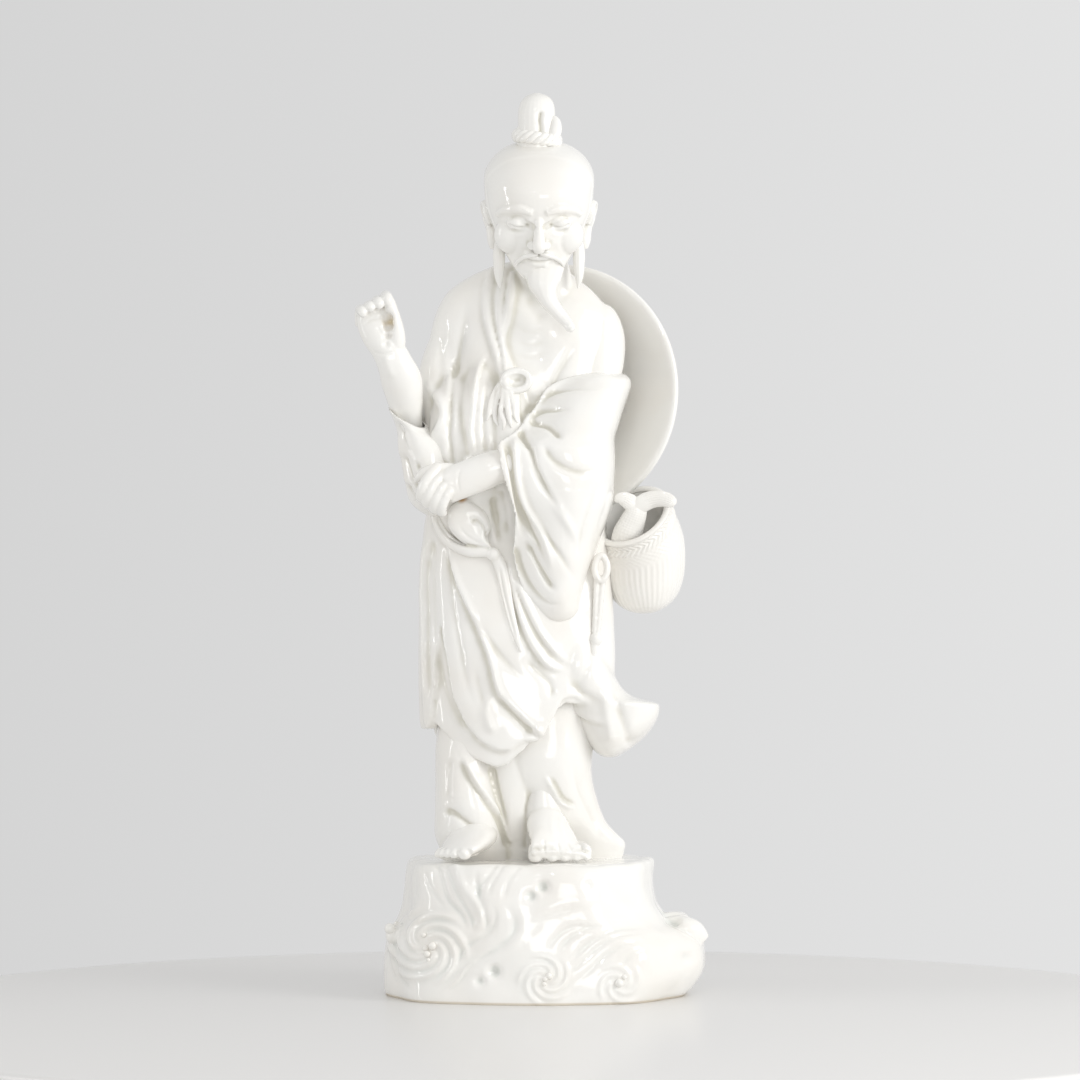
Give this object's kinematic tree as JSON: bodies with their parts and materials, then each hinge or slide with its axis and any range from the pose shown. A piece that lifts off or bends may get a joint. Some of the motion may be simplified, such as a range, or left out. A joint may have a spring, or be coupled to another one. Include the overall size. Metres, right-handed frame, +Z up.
{
  "type": "porcelain figure of a fisherman on a rock",
  "caption": "Standing fisherman figure in white glazed porcelain with an open robe, a hat and a fish creel, on an oval rock carved with waves.",
  "frame": {"origin": "middle of the rock's flat underside", "axes": "+Z up through the standing figure, -Y the way the figure faces, +X to the side that carries the creel"},
  "size_m": [0.163, 0.1222, 0.4188],
  "materials": {
    "glazed_porcelain": "high-gloss warm ivory-white glaze over white porcelain, unglazed foot"
  },
  "bodies": {
    "root": {"fisherman_figure": "glazed_porcelain"}
  },
  "joints": []
}
